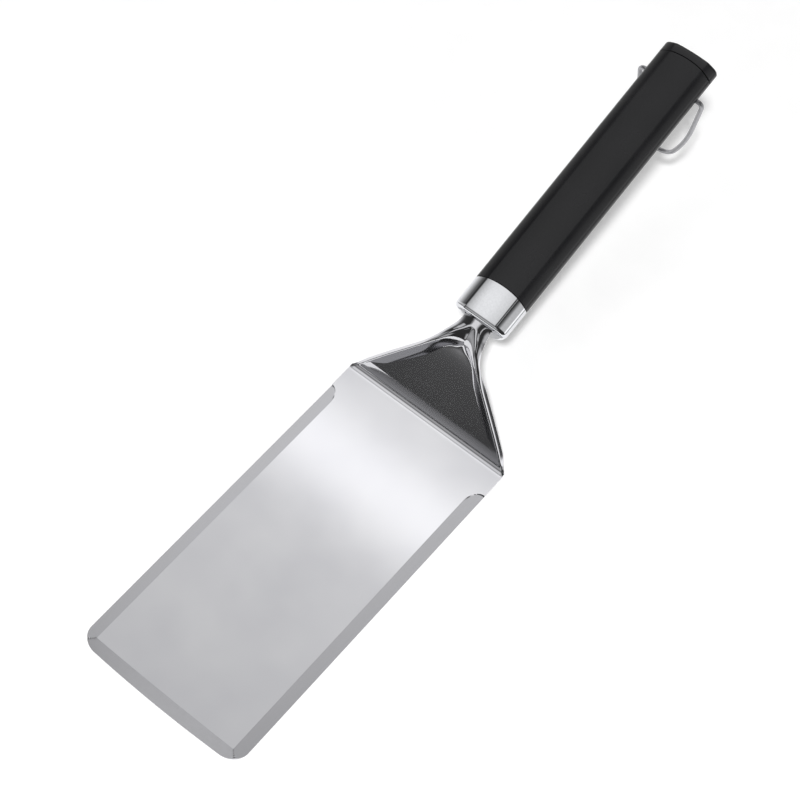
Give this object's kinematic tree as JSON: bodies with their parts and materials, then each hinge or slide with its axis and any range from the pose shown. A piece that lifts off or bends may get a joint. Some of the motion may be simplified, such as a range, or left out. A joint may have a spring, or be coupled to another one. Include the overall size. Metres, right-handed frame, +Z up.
{
  "type": "grill spatula",
  "caption": "Long grill spatula: a flat bevelled steel blade on a steep cranked neck, a faceted ferrule, a black moulded grip and a swinging wire hanging loop.",
  "frame": {"origin": "centre of the blade's flat underside, on the surface that the tool rests on", "axes": "+X from the grip towards the blade's front edge, +Y to the tool's left, +Z up from the blade's top face"},
  "size_m": [0.4149, 0.0996, 0.1017],
  "materials": {
    "blade_steel": "satin stainless steel",
    "ferrule_chrome": "polished plating",
    "grip_plastic": "fine satin moulded plastic, black",
    "insert_nylon": "matt moulded nylon, black",
    "core_plastic": "matt moulded plastic, grey",
    "plain_steel": "plain mill finish",
    "loop_wire": "bright drawn wire"
  },
  "bodies": {
    "tool": {"blade": "blade_steel", "ferrule": "ferrule_chrome", "ferrule_insert": "insert_nylon", "tang": "plain_steel", "rivet_front": "plain_steel", "rivet_rear": "plain_steel", "grip": "grip_plastic", "core_upper": "core_plastic", "core_lower": "core_plastic", "core_pin_front": "plain_steel", "core_pin_rear": "plain_steel", "tang_washer": "plain_steel", "tang_nut": "plain_steel", "end_cap": "grip_plastic"},
    "loop": {"hanging_loop": "loop_wire"}
  },
  "joints": [
    {"name": "loop_swing", "type": "hinge", "parent": "tool", "child": "loop", "pos_m": [-0.29167, 0, 0.09018], "axis": [0, 1, 0], "range_deg": [-55, 273]}
  ]
}
